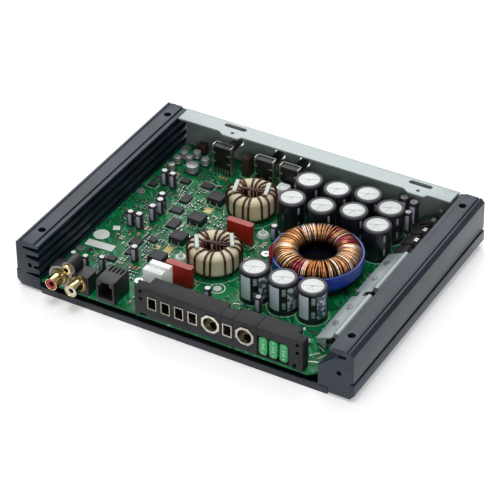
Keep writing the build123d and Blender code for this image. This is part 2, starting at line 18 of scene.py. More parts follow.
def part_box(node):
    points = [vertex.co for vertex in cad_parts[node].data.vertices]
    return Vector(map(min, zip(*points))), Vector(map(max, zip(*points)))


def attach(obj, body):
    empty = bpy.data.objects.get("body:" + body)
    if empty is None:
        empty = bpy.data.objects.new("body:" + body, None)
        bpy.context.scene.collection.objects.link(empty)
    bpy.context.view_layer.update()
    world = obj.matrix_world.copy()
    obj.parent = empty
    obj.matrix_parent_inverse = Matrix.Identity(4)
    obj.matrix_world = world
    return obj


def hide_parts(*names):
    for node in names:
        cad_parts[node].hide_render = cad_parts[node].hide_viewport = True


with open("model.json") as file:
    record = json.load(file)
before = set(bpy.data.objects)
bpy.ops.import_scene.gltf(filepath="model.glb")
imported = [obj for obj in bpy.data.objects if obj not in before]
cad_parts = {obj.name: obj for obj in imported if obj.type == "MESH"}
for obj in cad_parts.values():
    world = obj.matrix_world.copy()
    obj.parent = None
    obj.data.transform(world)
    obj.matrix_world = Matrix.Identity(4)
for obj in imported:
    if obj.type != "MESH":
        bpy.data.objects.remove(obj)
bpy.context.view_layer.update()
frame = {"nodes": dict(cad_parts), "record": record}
mm = 0.001
board_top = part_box("main_board")[1].z / mm

# %% [markdown]
# Colours are easiest to talk about as sRGB hex values, but shaders work in linear light.
# One function turns the first into the second, and one adds a shader node with its
# settings and links, so that each finish below stays short enough to read.

# %% Colour and node helpers
def colour(text):
    """Linear RGBA from an sRGB hex value."""
    channels = [int(text[i:i + 2], 16) / 255 for i in (0, 2, 4)]
    return tuple(c / 12.92 if c <= 0.04045 else ((c + 0.055) / 1.055) ** 2.4 for c in channels) + (1.0,)


def fill(node, inputs):
    """Link each input to a socket, or set its value."""
    for socket, value in inputs.items():
        if isinstance(value, bpy.types.NodeSocket):
            node.id_data.links.new(value, node.inputs[socket])
        else:
            node.inputs[socket].default_value = value


def add(tree, kind, inputs=None, **settings):
    """Add a shader node, set it up, fill its inputs, and return its outputs."""
    made = tree.nodes.new("ShaderNode" + kind)
    for key, value in settings.items():
        setattr(made, key, value)
    fill(made, inputs or {})
    return made.outputs


def material(name, values):
    """An empty principled material with its constant sockets set."""
    made = bpy.data.materials.new(name)
    made.use_nodes = True
    shader = made.node_tree.nodes["Principled BSDF"]
    fill(shader, values)
    return made, made.node_tree, shader


print("white is", colour("ffffff"))

# %% [markdown]
# Most surfaces here are moulded, coated or rolled: one colour close up, with fine grain
# that breaks the highlight and a slow drift in tone across the part. One noise drives the
# colour, roughness and height of the grain, and a second, forty times coarser, drifts the
# tone. Grain size and height are in millimetres. Real moulding and plating grain is a
# tenth of a millimetre or less, so it is drawn three to five times coarser, to show.

# %% A finish with grain
def grained(name, dark, light, grain, rough, height, values=None):
    """A finish whose colour, roughness and height follow one fine noise."""
    made, tree, shader = material(name, values or {})
    place = add(tree, "TexCoord")["Object"]
    fine = add(tree, "TexNoise", {"Vector": place, "Scale": 1000 / grain, "Detail": 3.0})[0]
    broad = add(tree, "TexNoise", {"Vector": place, "Scale": 25 / grain, "Detail": 2.0})[0]
    tone = add(tree, "Math", {0: fine, 1: broad, 2: broad}, operation="MULTIPLY_ADD")[0]
    spread = add(tree, "MapRange", {0: tone, 1: 0.45, 2: 1.05})[0]
    tint = add(tree, "Mix", {0: spread, 6: colour(dark), 7: colour(light)}, data_type="RGBA")[2]
    gloss = add(tree, "MapRange", {0: fine, 1: 0.3, 2: 0.7, 3: rough[0], 4: rough[1]})[0]
    relief = add(tree, "Bump", {"Height": fine, "Strength": 0.6, "Distance": height * mm})[0]
    fill(shader, {"Base Color": tint, "Roughness": gloss, "Normal": relief})
    return made


# %% [markdown]
# A finished piece is a mesh at the origin. Flat faces stay crisp and curved ones shade
# smoothly when every edge bent by more than 32 degrees is marked sharp, which is what
# the editor's Auto Smooth does. Thin wire has few sides, so it takes a wider angle.

# %% Turn a bmesh into a piece
def piece(work, name, finish, replaces=(), crease=32, body="amplifier"):
    """Make an object of a bmesh, give it a finish and let it ride a body."""
    for face in work.faces:
        face.smooth = True
    for edge in work.edges:
        edge.smooth = len(edge.link_faces) == 2 and edge.calc_face_angle(0) < radians(crease)
    mesh = bpy.data.meshes.new(name)
    work.to_mesh(mesh)
    work.free()
    made = bpy.data.objects.new(name, mesh)
    bpy.context.scene.collection.objects.link(made)
    mesh.materials.append(finish)
    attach(made, body)
    for node in replaces:
        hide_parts(node)
    return made


def dress(finish, *names):
    """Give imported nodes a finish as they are."""
    for name in names:
        mesh = frame["nodes"][name].data
        mesh.materials.clear()
        mesh.materials.append(finish)


body_of = {n: b for b, ns in frame["record"]["behaviour"]["bodies"].items() for n in ns}
print("fuse_body_1 rides on", body_of["fuse_body_1"])

# %% [markdown]
# Real edges are never knife sharp: a mould, a saw or a coat of paint leaves a small
# radius that catches the light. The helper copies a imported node, welds its triangles,
# dissolves the flat ones and bevels the long edges. Short edges, such as the rims of
# holes, are left out, because a bevel there would fold over itself.

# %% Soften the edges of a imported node
def welded(name):
    """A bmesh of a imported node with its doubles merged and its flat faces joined."""
    work = bmesh.new()
    work.from_mesh(frame["nodes"][name].data)
    bmesh.ops.remove_doubles(work, verts=work.verts, dist=2e-6)
    bmesh.ops.dissolve_limit(work, angle_limit=radians(0.5), verts=work.verts, edges=work.edges)
    return work


def bevel(work, edges, width, segments=2):
    """Round edges by a width in millimetres."""
    bmesh.ops.bevel(work, geom=edges, offset=width * mm, offset_type="OFFSET", segments=segments,
                    profile=0.5, affect="EDGES", clamp_overlap=True, material=-1)


def soften(name, finish, width=0.25, segments=2):
    """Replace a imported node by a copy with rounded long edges."""
    work = welded(name)
    long = [e for e in work.edges if len(e.link_faces) == 2 and e.calc_length() > 3 * width * mm
            and e.calc_face_angle(0) > radians(30)]
    bevel(work, long, width, segments)
    return piece(work, name + "_skin", finish, [name], body=body_of[name])


def solids(name):
    """Lowest and highest corners, in mm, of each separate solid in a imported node."""
    work = bmesh.new()
    work.from_mesh(frame["nodes"][name].data)
    bmesh.ops.remove_doubles(work, verts=work.verts, dist=2e-6)
    left, found = set(work.verts), []
    while left:
        group = [left.pop()]
        for vert in group:
            for edge in vert.link_edges:
                other = edge.other_vert(vert)
                if other in left:
                    left.remove(other)
                    group.append(other)
        low = Vector([min(v.co[i] for v in group) / mm for i in range(3)])
        high = Vector([max(v.co[i] for v in group) / mm for i in range(3)])
        found.append((low, high))
    work.free()
    return sorted(found, key=lambda pair: (round(pair[0].x, 2), round(pair[0].y, 2), round(pair[0].z, 2)))


def plan(low, high):
    """Centre x and y, and the two sides, of a solid seen from above."""
    return (low.x + high.x) / 2, (low.y + high.y) / 2, high.x - low.x, high.y - low.y


print("capacitors:", len(solids("capacitor_sleeves")))

# %% [markdown]
# ## Rails
# The two side rails are extruded aluminium with a satin dark blue-grey powder coat.
# A powder coat has a very fine orange peel, so its grain is small and shallow, and it is
# not a metal to the eye: the metal only shows as a slightly tighter highlight.

# %% Rails and bottom plate
# Satin powder coat on aluminium: dark blue-grey, a soft wide highlight with a tight core.
powder_coat = grained("satin_powder_coat", "18202a", "263140", 0.5, (0.3, 0.42), 0.012, {"Metallic": 0.25})
for name in ("left_rail", "right_rail"):
    rail = soften(name, powder_coat, 0.35, 3)
    print(rail.name, len(rail.data.polygons), "faces")
# Black-coated steel sheet: thinner paint, duller and more even than the rails.
soften("bottom_plate", grained("black_coated_steel", "11151b", "1d232c", 0.6, (0.38, 0.5), 0.01), 0.15)
# Chemically blackened screws: metal under a thin oily black, so edges still glint.
blackened_steel = grained("blackened_steel", "1b1b1d", "39393b", 0.3, (0.3, 0.45), 0.01, {"Metallic": 0.8})
dress(blackened_steel, "bottom_plate_screws", "rear_panel_screws", "terminal_set_screws")

# %% [markdown]
# ## Back panel
# Hot-dip galvanised sheet is a metal with spangle: flat crystals several millimetres
# across, each reflecting a slightly different grey. Voronoi cells give the crystals
# a value each, which shifts colour and roughness together.

# %% Galvanised sheet
crystal_size, haze_size = 3.0, 1.2
zinc, tree, shader = material("galvanised_sheet", {"Metallic": 0.4})
place = add(tree, "TexCoord")["Object"]
crystal = add(tree, "TexVoronoi", {"Vector": place, "Scale": 1000 / crystal_size})["Color"]
value = add(tree, "SeparateColor", {0: crystal})[0]
haze = add(tree, "TexNoise", {"Vector": place, "Scale": 1000 / haze_size, "Detail": 4.0})[0]
both = add(tree, "Math", {0: value, 1: haze}, operation="ADD")[0]
shade = add(tree, "MapRange", {0: both, 1: 0.2, 2: 1.6})[0]
tint = add(tree, "Mix", {0: shade, 6: colour("a9b4b3"), 7: colour("bcc6c4")}, data_type="RGBA")[2]
gloss = add(tree, "MapRange", {0: both, 1: 0.2, 2: 1.6, 3: 0.42, 4: 0.58})[0]
relief = add(tree, "Bump", {"Height": haze, "Strength": 0.4, "Distance": 0.01 * mm})[0]
fill(shader, {"Base Color": tint, "Roughness": gloss, "Normal": relief})
soften("rear_panel", zinc, 0.2)
print("spangle", crystal_size, "mm across")

# %% [markdown]
# ## Circuit board
# Glass-epoxy with green solder mask: copper pours under the mask show as large lighter
# areas cut by thin dark gaps, tracks as fine parallel lines, and vias as dots. Manhattan
# Voronoi cells make areas with straight sides, their edge distance makes the gaps, and
# a wave masked by noise makes bundles of tracks. The mask is a thin gloss lacquer, but
# hundreds of small edges under it break the highlight up, so its specular level is low.

# %% Solder mask
pour_size, wave_size, bundle_size, via_gap = 13, 9, 14, 3.4
mask, tree, shader = material("green_solder_mask", {"Specular IOR Level": 0.2})
place = add(tree, "TexCoord")["Object"]
flat = add(tree, "Mapping", {"Vector": place, "Scale": (1, 1, 0)})[0]
areas = {"Vector": flat, "Scale": 1000 / pour_size, "Randomness": 0.8}
pours = add(tree, "TexVoronoi", areas, distance="MANHATTAN")["Color"]
gap = add(tree, "TexVoronoi", areas, feature="DISTANCE_TO_EDGE")[0]
clear = add(tree, "Math", {0: gap, 1: 0.022}, operation="LESS_THAN")[0]
lines = add(tree, "TexWave", {"Vector": flat, "Scale": 1000 / wave_size}, bands_direction="DIAGONAL")[1]
zone = add(tree, "TexNoise", {"Vector": flat, "Scale": 1000 / bundle_size, "Detail": 1.0})[0]
bundle = add(tree, "Math", {0: zone, 1: 0.56}, operation="GREATER_THAN")[0]
thin = add(tree, "Math", {0: lines, 1: 0.72}, operation="GREATER_THAN")[0]
track = add(tree, "Math", {0: bundle, 1: thin}, operation="MULTIPLY")[0]
dots = add(tree, "TexVoronoi", {"Vector": flat, "Scale": 1000 / via_gap})[0]
via = add(tree, "Math", {0: dots, 1: 0.13}, operation="LESS_THAN")[0]
copper = add(tree, "SeparateColor", {0: pours})[1]
layer = add(tree, "Mix", {0: copper, 6: colour("02532c"), 7: colour("087a43")}, data_type="RGBA")[2]
for where, tone in ((clear, "02432a"), (track, "1c8558"), (via, "86b08c")):
    layer = add(tree, "Mix", {0: where, 6: layer, 7: colour(tone)}, data_type="RGBA")[2]
gloss = add(tree, "MapRange", {0: zone, 1: 0.3, 2: 0.7, 3: 0.28, 4: 0.4})[0]
steps = add(tree, "Math", {0: track, 1: clear}, operation="SUBTRACT")[0]
relief = add(tree, "Bump", {"Height": steps, "Strength": 0.5, "Distance": 0.05 * mm})[0]
fill(shader, {"Base Color": layer, "Roughness": gloss, "Normal": relief})
dress(mask, "main_board")
print("copper pours", pour_size, "mm, vias every", via_gap, "mm")

# %% [markdown]
# ## Shared finishes
# The parts on the board share a few finishes: tin and nickel plate, brass, gold flash,
# black and white mouldings, matt aluminium. They are defined once, each named for how
# it was made. First the metals: plating hides the base metal, so its colour and its
# roughness decide the look.

# %% Metals
# Tin plate: soft warm white, slightly blurred.
tin = grained("tinned_steel", "b9b6ab", "dedbd2", 0.4, (0.25, 0.4), 0.01, {"Metallic": 0.95})
# Bright zinc plate on screws: colder than tin.
zinc_plate = grained("zinc_plated_steel", "b4bab9", "dadfdd", 0.7, (0.26, 0.4), 0.01, {"Metallic": 0.9})
# Satin zinc plate on the clamp: a dull grey film over bent sheet.
satin_zinc = grained("satin_zinc_plate", "9aa5a6", "bcc5c5", 0.8, (0.42, 0.56), 0.012, {"Metallic": 0.4})
# Nickel plate over turned brass: hard glints with patches of dark reflection.
nickel = grained("nickel_plated_brass", "7d786c", "d6d1c4", 1.6, (0.16, 0.32), 0.02, {"Metallic": 1.0})
# Gold flash: thin, pale and very smooth.
gold = grained("gold_flash_on_brass", "b99a5c", "ead9a8", 0.5, (0.1, 0.2), 0.005, {"Metallic": 1.0})
# Bare turned brass: deeper yellow, with tool marks.
brass = grained("turned_brass", "9c7a35", "c7a45a", 0.3, (0.2, 0.35), 0.01, {"Metallic": 1.0})
# Etched aluminium: matt light grey.
aluminium = grained("matt_aluminium", "9fa1a2", "c4c6c7", 0.5, (0.35, 0.5), 0.012, {"Metallic": 0.7})
dress(brass, "board_spacers")
dress(zinc_plate, "board_screws", "clamp_screws")
dress(tin, "fuse_clips", "output_chip_leads", "power_transistor_leads", "potentiometer_brackets")
soften("clamp_bar", satin_zinc, 0.2)
soften("transistor_heat_bar", aluminium, 0.2)
print("metals done, finishes:", len(bpy.data.materials))

# %% [markdown]
# Then the mouldings. Black parts differ mostly in gloss: plain PBT is satin, glass-filled
# nylon is dull, and moulded chip epoxy is the dullest and slightly grey.

# %% Mouldings
# PBT: near black, even satin.
black_pbt = grained("moulded_black_pbt", "0c0c0e", "19191b", 0.35, (0.35, 0.5), 0.015)
# Glass-filled nylon: fibres at the skin roughen it.
nylon = grained("glass_filled_nylon", "161619", "252529", 0.4, (0.45, 0.62), 0.03, {"Specular IOR Level": 0.3})
# Chip epoxy, eroded finish: charcoal, no clear highlight.
epoxy_black = grained("transfer_moulded_epoxy", "1d1d22", "2d2d33", 0.3, (0.5, 0.65), 0.02)
# Natural nylon: white, lets a little light in.
white_nylon = grained("white_nylon", "f8f8f5", "ffffff", 0.5, (0.4, 0.55), 0.01, {"Subsurface Weight": 0.1})
# Cured silicone: milky, greenish where thin.
silicone = grained("cured_silicone", "c3cabb", "e4e8dd", 0.9, (0.3, 0.5), 0.05, {"Subsurface Weight": 0.2})
dress(silicone, "board_supports")
print("finishes:", len(bpy.data.materials))

# %% [markdown]
# ## Terminal block
# Four housings of glass-filled nylon stand side by side. The fill makes the skin dull and
# faintly rough. The small wire terminals are nickel-plated square cages, and the two power
# terminals are eight-sided barrels, chamfered at the mouth by the lathe.

# %% Terminals
for name in ("speaker_terminal_block", "remote_terminal_block", "battery_terminal_block", "fuse_block"):
    soften(name, nylon, 0.3)
soften("wire_terminal_cages", nickel, 0.15)
soften("power_terminal_barrels", nickel, 0.35)
print("terminal solids:", len(solids("wire_terminal_cages")) + len(solids("power_terminal_barrels")))

# %% [markdown]
# ## Fuses
# Blade fuses are moulded in clear tinted polycarbonate. Light gets inside them, so they
# glow a little from within: part transmission and part subsurface scattering. Each front
# face carries two bare test points and a raised panel, drawn here as small bars.

# %% Fuse bodies
# Tinted polycarbonate: bright, glossy, lit from inside.
fuse_green = grained("green_polycarbonate", "03964d", "0fb865", 1.2, (0.12, 0.2), 0.01,
                     {"Transmission Weight": 0.15, "Subsurface Weight": 0.3, "Coat Weight": 0.4})
# The raised marks are frosted, so they scatter light and look pale.
pale_green = grained("frosted_polycarbonate", "7fcf9f", "b4e6c4", 0.5, (0.3, 0.45), 0.01)


def bar(work, x, y, z, dx, dy, dz, width=0.1, turn=0.0):
    """Add a bevelled block to a bmesh: centre and size in mm, turned about Z in degrees."""
    made = bmesh.ops.create_cube(work, size=mm)["verts"]
    bmesh.ops.scale(work, vec=(dx, dy, dz), verts=made)
    if width:
        edges = list({e for v in made for e in v.link_edges})
        before = set(work.verts) - set(made)
        bevel(work, edges, width, 1)
        made = [v for v in work.verts if v not in before]
    bmesh.ops.rotate(work, cent=(0, 0, 0), matrix=Matrix.Rotation(radians(turn), 3, "Z"), verts=made)
    bmesh.ops.translate(work, vec=(x * mm, y * mm, z * mm), verts=made)
    return made


for number in (1, 2, 3):
    name = "fuse_body_%d" % number
    soften(name, fuse_green, 0.5, 3)
    dress(tin, "fuse_blades_%d" % number)
    low, high = (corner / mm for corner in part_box(name))
    middle = (low + high) / 2
    marks = bmesh.new()
    for rise, width in ((4.4, 1.1), (-4.4, 1.1), (1.5, 2.1), (-0.1, 1.5), (-1.7, 2.1)):
        bar(marks, middle.x, low.y, middle.z + rise, width, 0.2, 0.75, 0.05)
    piece(marks, "fuse_marks_%d" % number, pale_green, body=body_of[name])
print("fuse face", round(high.x - low.x, 2), "x", round(high.z - low.z, 2), "mm")

# %% [markdown]
# ## Signal sockets
# The phono sockets are turned brass shells with a gold flash around red and white
# insulators. Lathe work is a profile spun about an axis, so the shells are made that way,
# with a rolled lip at the mouth that a plain tube does not have.

# %% A spun profile
def spun(profile, x, y, z, steps=40, axis="Z"):
    """Spin a profile of (radius, height) about an axis through a point, in mm."""
    work = bmesh.new()
    verts = [work.verts.new((r * mm, 0, h * mm)) for r, h in profile]
    edges = [work.edges.new(pair) for pair in zip(verts, verts[1:])]
    bmesh.ops.spin(work, geom=verts + edges, cent=(0, 0, 0), axis=(0, 0, 1), dvec=(0, 0, 0),
                   angle=2 * pi, steps=steps, use_merge=True)
    bmesh.ops.remove_doubles(work, verts=work.verts, dist=1e-6)
    if axis == "Y":
        bmesh.ops.rotate(work, cent=(0, 0, 0), matrix=Matrix.Rotation(radians(90), 3, "X"), verts=work.verts)
    bmesh.ops.translate(work, vec=(x * mm, y * mm, z * mm), verts=work.verts)
    bmesh.ops.recalc_face_normals(work, faces=work.faces)
    return work


def joined(parts):
    """One bmesh of several."""
    whole = bmesh.new()
    for part in parts:
        mesh = bpy.data.meshes.new("part")
        part.to_mesh(mesh)
        part.free()
        whole.from_mesh(mesh)
        bpy.data.meshes.remove(mesh)
    return whole


shells, flanges = [], []
for low, high in solids("rca_shells"):
    x, z = (low.x + high.x) / 2, (low.z + high.z) / 2
    depth = high.y - low.y
    mouth = depth - 0.45
    shells.append(spun([(3.45, 0.0), (3.75, 0.0), (3.75, 3.6), (3.9, 3.6), (4.35, 5.0), (4.15, 5.2),
                        (4.15, mouth), (4.05, depth - 0.12), (3.85, depth), (3.6, depth - 0.1),
                        (3.45, mouth), (3.45, 0.0)], x, high.y, z, axis="Y"))
    flanges.append(spun([(3.85, 3.6), (5.3, 3.6), (5.6, 3.9), (5.6, 4.7), (5.3, 5.0), (3.95, 5.0),
                         (3.85, 3.6)], x, high.y, z, axis="Y"))
# Gold flash worn thin over the flange: brown, with a softer shine than the shell.
bronze = grained("dulled_gold_flash", "4c3f29", "8a7549", 0.6, (0.25, 0.4), 0.01, {"Metallic": 0.9})
piece(joined(shells), "rca_shells_turned", gold, ["rca_shells"])
piece(joined(flanges), "rca_flanges_turned", bronze)
# Coloured PBT insulators: deep, even colour and a satin shine.
red_pbt = grained("moulded_red_pbt", "8d1416", "b72022", 0.6, (0.25, 0.4), 0.01)
ivory_pbt = grained("moulded_ivory_pbt", "ddd8c8", "f0ece0", 0.6, (0.25, 0.4), 0.01)
dress(red_pbt, "rca_insulator_red")
dress(ivory_pbt, "rca_insulator_white")
dress(gold, "rca_contacts", "rca_ground_boss", "remote_jack_contacts")
soften("rca_jack_body", black_pbt, 0.3)
soften("remote_jack_housing", black_pbt, 0.3)
print("shell length", round(depth, 2), "mm")

# %% [markdown]
# ## Power transformer
# Some hundred and twenty turns of enamelled copper are wound round a ferrite ring. Each turn
# is a closed loop that hugs the ring: crowded in the hole, fanned out at the rim, and
# never quite parallel to its neighbour. One loop is made from a rounded rectangle that is
# inset, thickened and bevelled, then it is copied round the ring with a little slant.
# The colour of each turn is kept in its UV, because enamel darkens from turn to turn.

# %% One turn of wire
def wire_turn(width, height, corner, wire, steps=5):
    """A closed loop of wire in the XZ plane about the origin, sizes in mm."""
    work = bmesh.new()
    bmesh.ops.create_grid(work, x_segments=1, y_segments=1, size=0.5 * mm)
    bmesh.ops.scale(work, vec=(width, height, 1), verts=work.verts)
    bmesh.ops.bevel(work, geom=work.verts[:], offset=corner * mm, offset_type="OFFSET", segments=steps,
                    profile=0.5, affect="VERTICES", clamp_overlap=True, material=-1)
    inner = list(work.faces)
    bmesh.ops.inset_individual(work, faces=inner, thickness=wire * mm, depth=0)
    bmesh.ops.delete(work, geom=inner, context="FACES")
    bmesh.ops.solidify(work, geom=work.faces[:], thickness=wire * mm)
    bmesh.ops.recalc_face_normals(work, faces=work.faces)
    ridges = [e for e in work.edges if len(e.link_faces) == 2 and e.calc_face_angle(0) > radians(70)]
    bevel(work, ridges, wire * 0.3, 1)
    bmesh.ops.translate(work, vec=(0, 0, -wire * mm / 2), verts=work.verts)
    bmesh.ops.rotate(work, cent=(0, 0, 0), matrix=Matrix.Rotation(radians(90), 3, "X"), verts=work.verts)
    return work


def ring_of_turns(turn, count, radius, x, y, z, slant, wander, seed):
    """Copy a turn round an upright axis, each slightly out of true, with its shade in UV."""
    drawn = random.Random(seed)
    one = bpy.data.meshes.new("turn")
    turn.to_mesh(one)
    turn.free()
    ring = bmesh.new()
    shades = ring.loops.layers.uv.new("shade")
    for i in range(count):
        start = len(ring.verts)
        faces = len(ring.faces)
        ring.from_mesh(one)
        ring.verts.ensure_lookup_table()
        ring.faces.ensure_lookup_table()
        grow = 1 + drawn.uniform(-wander, wander)
        place = (Matrix.Translation(Vector((x, y, z)) * mm)
                 @ Matrix.Rotation(2 * pi * (i + drawn.uniform(-0.25, 0.25)) / count, 4, "Z")
                 @ Matrix.Translation(Vector((radius, 0, 0)) * mm)
                 @ Matrix.Rotation(radians(drawn.uniform(-slant, slant)), 4, "X")
                 @ Matrix.Rotation(radians(drawn.uniform(-slant, slant)), 4, "Z")
                 @ Matrix.Diagonal((grow, 1, grow, 1)))
        bmesh.ops.transform(ring, matrix=place, verts=ring.verts[start:])
        tint = (drawn.random(), i / count)
        for face in ring.faces[faces:]:
            for loop in face.loops:
                loop[shades].uv = tint
    bpy.data.meshes.remove(one)
    return ring


low, high = (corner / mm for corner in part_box("transformer_winding"))
centre = (low + high) / 2
ring_out, ring_in = (high.x - low.x) / 2, 11.0
turn_count, wire = 126, 0.95
turn = wire_turn(ring_out - ring_in + 0.3, high.z - low.z, 6.6, wire)
winding = ring_of_turns(turn, turn_count, (ring_out + ring_in) / 2, *centre, 6.0, 0.035, 11)
print("turns", turn_count, "of", wire, "mm wire, radius", round(ring_out, 1), "mm")

# %% [markdown]
# Enamelled copper is a metal under a clear amber varnish. A ramp on each turn's shade
# goes from brown through copper to pale gold, and two stretches of the ring, where the
# other winding lies on top, are purplish red. Painted shade darkens the turns in the hole.

# %% Enamelled copper
enamel, tree, shader = material("enamelled_copper", {"Metallic": 1.0, "Roughness": 0.38})
shade = add(tree, "SeparateXYZ", {0: add(tree, "UVMap", uv_map="shade")[0]})
ramp = add(tree, "ValToRGB", {0: shade[0]})[0]
stops = ramp.node.color_ramp.elements
for spot, tone in ((0.0, "4e2016"), (0.3, "9f5732"), (0.65, "c67f48"), (1.0, "e2ae72")):
    stop = stops.new(spot) if 0 < spot < 1 else stops[int(spot)]
    stop.color = colour(tone)
wine = add(tree, "ValToRGB", {0: shade[1]})[0]
wine.node.color_ramp.interpolation = "CONSTANT"
stops = wine.node.color_ramp.elements
for spot, level in ((0.0, 0), (0.09, 1), (0.16, 0), (0.2, 1), (0.235, 0), (0.70, 1), (0.745, 0)):
    stop = stops.new(spot) if spot else stops[0]
    stop.color = (level, level, level, 1)
stops[-1].color = (0, 0, 0, 1)
place = add(tree, "TexCoord")["Object"]
patch = add(tree, "TexNoise", {"Vector": place, "Scale": 1000 / 5, "Detail": 2.0})[0]
strong = add(tree, "Math", {0: patch, 1: wine}, operation="MULTIPLY")[0]
amount = add(tree, "MapRange", {0: strong, 1: 0.3, 2: 0.6})[0]
tinted = add(tree, "Mix", {0: amount, 6: ramp, 7: colour("8e2a40")}, data_type="RGBA")[2]
# Painted shade: towards the middle of the hole the colour fades to near black, for the shade deep inside it.
hole = (-centre.x * mm, -centre.y * mm, -22 * mm)
moved = add(tree, "Mapping", {"Vector": place, "Location": hole})[0]
reach = add(tree, "VectorMath", {0: moved}, operation="LENGTH")["Value"]
hole_shade_fade = add(tree, "MapRange", {0: reach, 1: 11 * mm, 2: 17.5 * mm})[0]
hole_shaded_copper = add(tree, "Mix", {0: hole_shade_fade, 6: colour("160804"), 7: tinted}, data_type="RGBA")[2]
scratch = add(tree, "TexNoise", {"Vector": place, "Scale": 1000 / 0.5, "Detail": 2.0})[0]
relief = add(tree, "Bump", {"Height": scratch, "Strength": 0.4, "Distance": 0.02 * mm})[0]
fill(shader, {"Base Color": hole_shaded_copper, "Normal": relief})
piece(winding, "transformer_turns", enamel, ["transformer_winding"], crease=60)
# Sintered ferrite: dark, dry and dull, seen only between turns.
ferrite = grained("sintered_ferrite", "17171a", "26262a", 0.5, (0.5, 0.7), 0.02)
core_skin = soften("transformer_core", ferrite, 0.2)
# Blue nylon cup: strong blue, satin, a little light inside.
blue_nylon = grained("moulded_blue_nylon", "132f86", "1f41a8", 1.5, (0.28, 0.42), 0.02,
                     {"Subsurface Weight": 0.05})
# A black disc at the foot of the hole: painted shade for the deep hole, almost no reflection.
hole_shade_black = grained("black_hole_shade_disc", "050506", "0b0b0c", 0.8, (0.6, 0.8), 0.02, {"Specular IOR Level": 0.1})
piece(spun([(0, 14.3), (12.4, 14.3), (12.4, 16.0), (11.2, 17.4), (0, 17.4)], centre.x, centre.y, 0, 48),
      "transformer_hole_shade_disc", hole_shade_black)
dress(blue_nylon, "transformer_case")
dress(black_pbt, "transformer_base")
print("core inside the turns:", core_skin.name)

# %% [markdown]
# ## Chokes
# Each choke is an iron-powder ring dipped in cream epoxy, with sixteen spaced turns of
# thick brown enamelled wire. The epoxy swells a little between the turns. Two ribbons of
# white silicone hold the last wire, which crosses the hole.

# %% Chokes
# Cream epoxy dip: thick, glossy in places, pooled unevenly.
cream = grained("cream_epoxy_dip", "cfc49c", "e3dabb", 2.2, (0.32, 0.48), 0.04, {"Subsurface Weight": 0.05})
# Thick varnished wire: the copper hardly shows through the brown.
brown_enamel = grained("brown_enamelled_wire", "3a120e", "5e241b", 0.8, (0.2, 0.35), 0.01,
                       {"Metallic": 0.3, "Coat Weight": 0.5})
dress(cream, "choke_cores")
turn_count, wire, room, inner = 16, 1.35, 2.6, 6.5
rings = []
for low, high in solids("choke_cores"):
    out = (high.x - low.x) / 2
    middle = (low + high) / 2
    turn = wire_turn(out - inner + room, high.z - low.z + room, 4.6, wire, 4)
    rings.append(ring_of_turns(turn, turn_count, (out + inner) / 2, *middle, 1.6, 0.01, 5))
    cross = bmesh.new()
    for turned in (0, 1):
        lie = (Matrix.Translation(Vector((middle.x, middle.y + 1.6 * turned, high.z - 0.2)) * mm)
               @ Matrix.Rotation(radians(8 + 9 * turned), 4, "Z") @ Matrix.Rotation(radians(90), 4, "Y"))
        bmesh.ops.create_cone(cross, cap_ends=True, segments=10, radius1=0.65 * mm, radius2=0.65 * mm,
                              depth=2 * 8.4 * mm, matrix=lie)
    cross.loops.layers.uv.new("shade")
    rings.append(cross)
piece(joined(rings), "choke_turns", brown_enamel, ["choke_windings"], crease=60)
soften("choke_glue_strips", silicone, 0.5, 3)
print("choke radius", round(out, 1), "mm")

# %% [markdown]
# ## Electrolytic capacitors
# An aluminium can in a shrink sleeve. The sleeve follows the can: a rounded shoulder, a
# crimp groove near the foot, and a rim that shrinks over the edge and leaves the pressed
# top bare. The print runs down the sleeve in strips, so the sleeve needs to know the angle
# and height of each point: its UV is unrolled from the spin.

# %% Unroll a spun shape
def unroll(work, x, y, z0, z1, start):
    """UV: turn from a start angle in degrees, and height."""
    layer = work.loops.layers.uv.new("sleeve")
    for face in work.faces:
        c = face.calc_center_median() / mm
        base = (degrees(Vector((c.x - x, c.y - y)).angle_signed(Vector((1, 0)), 0)) - start) / 360 % 1
        for loop in face.loops:
            p = loop.vert.co / mm
            side = Vector((p.x - x, p.y - y))
            turn = base
            if side.length > 0.5:
                turn = (degrees(side.angle_signed(Vector((1, 0)), 0)) - start) / 360 % 1
                turn += round(base - turn)
            loop[layer].uv = (turn, (p.z - z0) / (z1 - z0))
    return work


def can_profile(r, z0, z1, opening):
    """Half section of a sleeved can: foot, crimp, wall, shoulder, rim, floor under the top."""
    h = z1 - z0
    return [(0, 0), (r - 0.5, 0), (r, 0.5), (r, 0.09 * h), (r - 0.35, 0.12 * h), (r, 0.15 * h), (r, h - 1.3),
            (r - 0.15, h - 0.6), (r - 0.5, h - 0.2), (r - 1.0, h), (opening + 0.3, h), (opening, h - 0.12),
            (opening, h - 0.7), (0, h - 0.7)]


sleeves, tops, vents = [], [], bmesh.new()
for low, high in solids("capacitor_sleeves"):
    x, y, wide, _ = plan(low, high)
    r = wide / 2
    start = -122 if y < 0 else 60
    body = spun(can_profile(r, low.z, high.z, 6.9), x, y, low.z, 56)
    sleeves.append(unroll(body, x, y, low.z, high.z, start))
    tops.append(spun([(0, -0.6), (6.98, -0.6), (6.9, -0.3), (6.5, -0.12), (3.0, -0.18), (0, -0.2)],
                     x, y, high.z, 48))
    for turned, along, run in ((22, 0.0, 12.6), (-58, 2.6, 5.6), (82, -2.8, 6.2)):
        lie = radians(turned)
        bar(vents, x + along * cos(lie), y + along * sin(lie), high.z - 0.1, run, 0.22, 0.08, 0, turned)
print("large capacitors", len(sleeves), "radius", round(r, 2), "mm")

# %% [markdown]
# Constant steps on the unrolled turn give the strips: a pale blue-grey panel, a black
# strip with white dashes, and a grey-blue field with blotted pale print, all kept between
# two heights. PVC sleeve is shiny and tight, so a thin coat lies over a finely rippled base.

